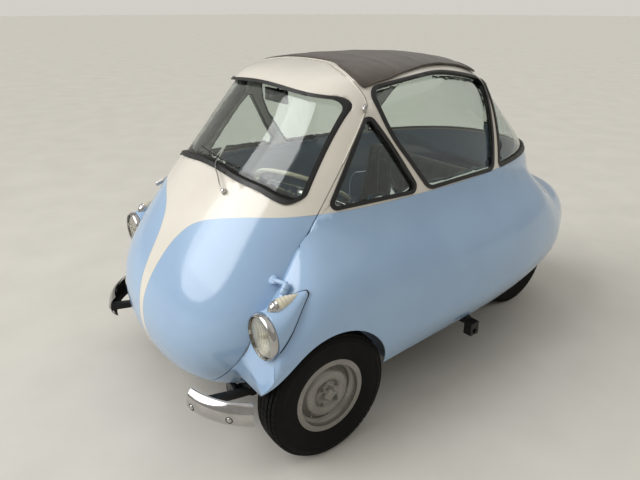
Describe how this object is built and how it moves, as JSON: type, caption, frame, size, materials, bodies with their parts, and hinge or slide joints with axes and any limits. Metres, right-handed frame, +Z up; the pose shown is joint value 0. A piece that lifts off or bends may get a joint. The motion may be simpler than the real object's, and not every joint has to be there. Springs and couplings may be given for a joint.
{
  "type": "bubble car",
  "caption": "Two-seat bubble car with a front door that carries the steering wheel, close-set rear wheels, cloth roof and rounded glass cabin.",
  "frame": {"origin": "on the ground, below the middle of the car's box", "axes": "+X to the car's left, -Y to its front, +Z up"},
  "size_m": [1.3748, 2.2839, 1.3459],
  "materials": {
    "blue_paint": "gloss",
    "cream_paint": "gloss",
    "roof_cloth": "matte",
    "glass": "clear",
    "black_rubber": "satin",
    "chrome": "polished",
    "lamp_glass": "ribbed",
    "red_glass": "ribbed",
    "black_steel": "satin",
    "silver_steel": "satin",
    "tyre": "matte",
    "cast_metal": "cast",
    "seat_cover": "matte",
    "floor_paint": "matte",
    "black_plastic": "satin",
    "mirror": "polished"
  },
  "bodies": {
    "root": {"body_lower": "blue_paint", "cab_upper": "cream_paint", "roof_cloth": "roof_cloth", "cab_glass": "glass", "cab_window_seals": "black_rubber", "headlamp_pods": "blue_paint", "headlamp_rims": "chrome", "headlamp_lenses": "lamp_glass", "indicator_lamps": "lamp_glass", "front_bumpers": "chrome", "bumper_irons": "black_steel", "rear_guards": "chrome", "tail_lamps": "red_glass", "horn": "black_steel", "frame_rails": "black_steel", "frame_cross_tubes": "black_steel", "jack_brackets": "black_steel", "floor_pan": "floor_paint", "front_axle_beam": "black_steel", "rear_springs": "black_steel", "chain_case": "cast_metal", "engine_block": "cast_metal", "silencer": "black_steel", "seat_base": "floor_paint", "seat_cushion": "seat_cover", "seat_back": "seat_cover", "parcel_shelf": "black_plastic", "body_hinges": "blue_paint", "pedals": "black_steel", "gear_lever": "black_steel"},
    "door": {"door_shell": "cream_paint", "windscreen_glass": "glass", "windscreen_seal": "black_rubber", "dashboard": "cream_paint", "door_handle": "chrome", "wiper": "chrome", "door_hinge_arms": "chrome", "inside_mirror": "mirror", "steering_column": "black_steel"},
    "steering_wheel": {"steering_wheel": "black_plastic"},
    "engine_lid": {"engine_lid": "blue_paint"},
    "knuckle_left": {"knuckle_left": "black_steel"},
    "knuckle_right": {"knuckle_right": "black_steel"},
    "track_rod": {"track_rod": "black_steel"},
    "front_wheel_left": {"front_tyre_left": "tyre", "front_rim_left": "silver_steel"},
    "front_wheel_right": {"front_tyre_right": "tyre", "front_rim_right": "silver_steel"},
    "rear_wheels": {"rear_tyres": "tyre", "rear_rims": "silver_steel", "rear_axle_shaft": "black_steel"}
  },
  "joints": [
    {"name": "door_hinge", "type": "hinge", "parent": "root", "child": "door", "pos_m": [0.556, -0.822, 0.673], "axis": [-0.1814, 0.6205, 0.763], "range_deg": [0, 80]},
    {"name": "engine_lid_hinge", "type": "hinge", "parent": "root", "child": "engine_lid", "pos_m": [-0.57168, 0.53343, 0.343], "axis": [-0.2325, -0.9726, 0], "range_deg": [0, 60]},
    {"name": "steer_left", "type": "hinge", "parent": "root", "child": "knuckle_left", "pos_m": [0.555, -0.7, 0.249], "axis": [0, 0, 1], "range_deg": [-20, 20]},
    {"name": "steer_right", "type": "hinge", "parent": "root", "child": "knuckle_right", "pos_m": [-0.555, -0.7, 0.249], "axis": [0, 0, 1], "range_deg": [-20, 20]},
    {"name": "track_rod_pin", "type": "hinge", "parent": "knuckle_left", "child": "track_rod", "pos_m": [0.522, -0.57, 0.175], "axis": [0, 0, 1], "range_deg": [-21.5, 21.5]},
    {"name": "steering_wheel_turn", "type": "hinge", "parent": "door", "child": "steering_wheel", "pos_m": [0.17, -0.47, 0.85], "axis": [0.2065, -0.5243, -0.8261], "range_deg": [-290, 290]},
    {"name": "front_left_spin", "type": "hinge", "parent": "knuckle_left", "child": "front_wheel_left", "pos_m": [0.6, -0.7, 0.249], "axis": [1, 0, 0], "continuous": true},
    {"name": "front_right_spin", "type": "hinge", "parent": "knuckle_right", "child": "front_wheel_right", "pos_m": [-0.6, -0.7, 0.249], "axis": [1, 0, 0], "continuous": true},
    {"name": "rear_spin", "type": "hinge", "parent": "root", "child": "rear_wheels", "pos_m": [0, 0.8, 0.249], "axis": [1, 0, 0], "continuous": true}
  ],
  "couplings": [
    {"joint": "steer_right", "follows": "steer_left", "ratio": 1},
    {"joint": "track_rod_pin", "follows": "steer_left", "ratio": -1.0632},
    {"joint": "steering_wheel_turn", "follows": "steer_left", "ratio": -14}
  ]
}
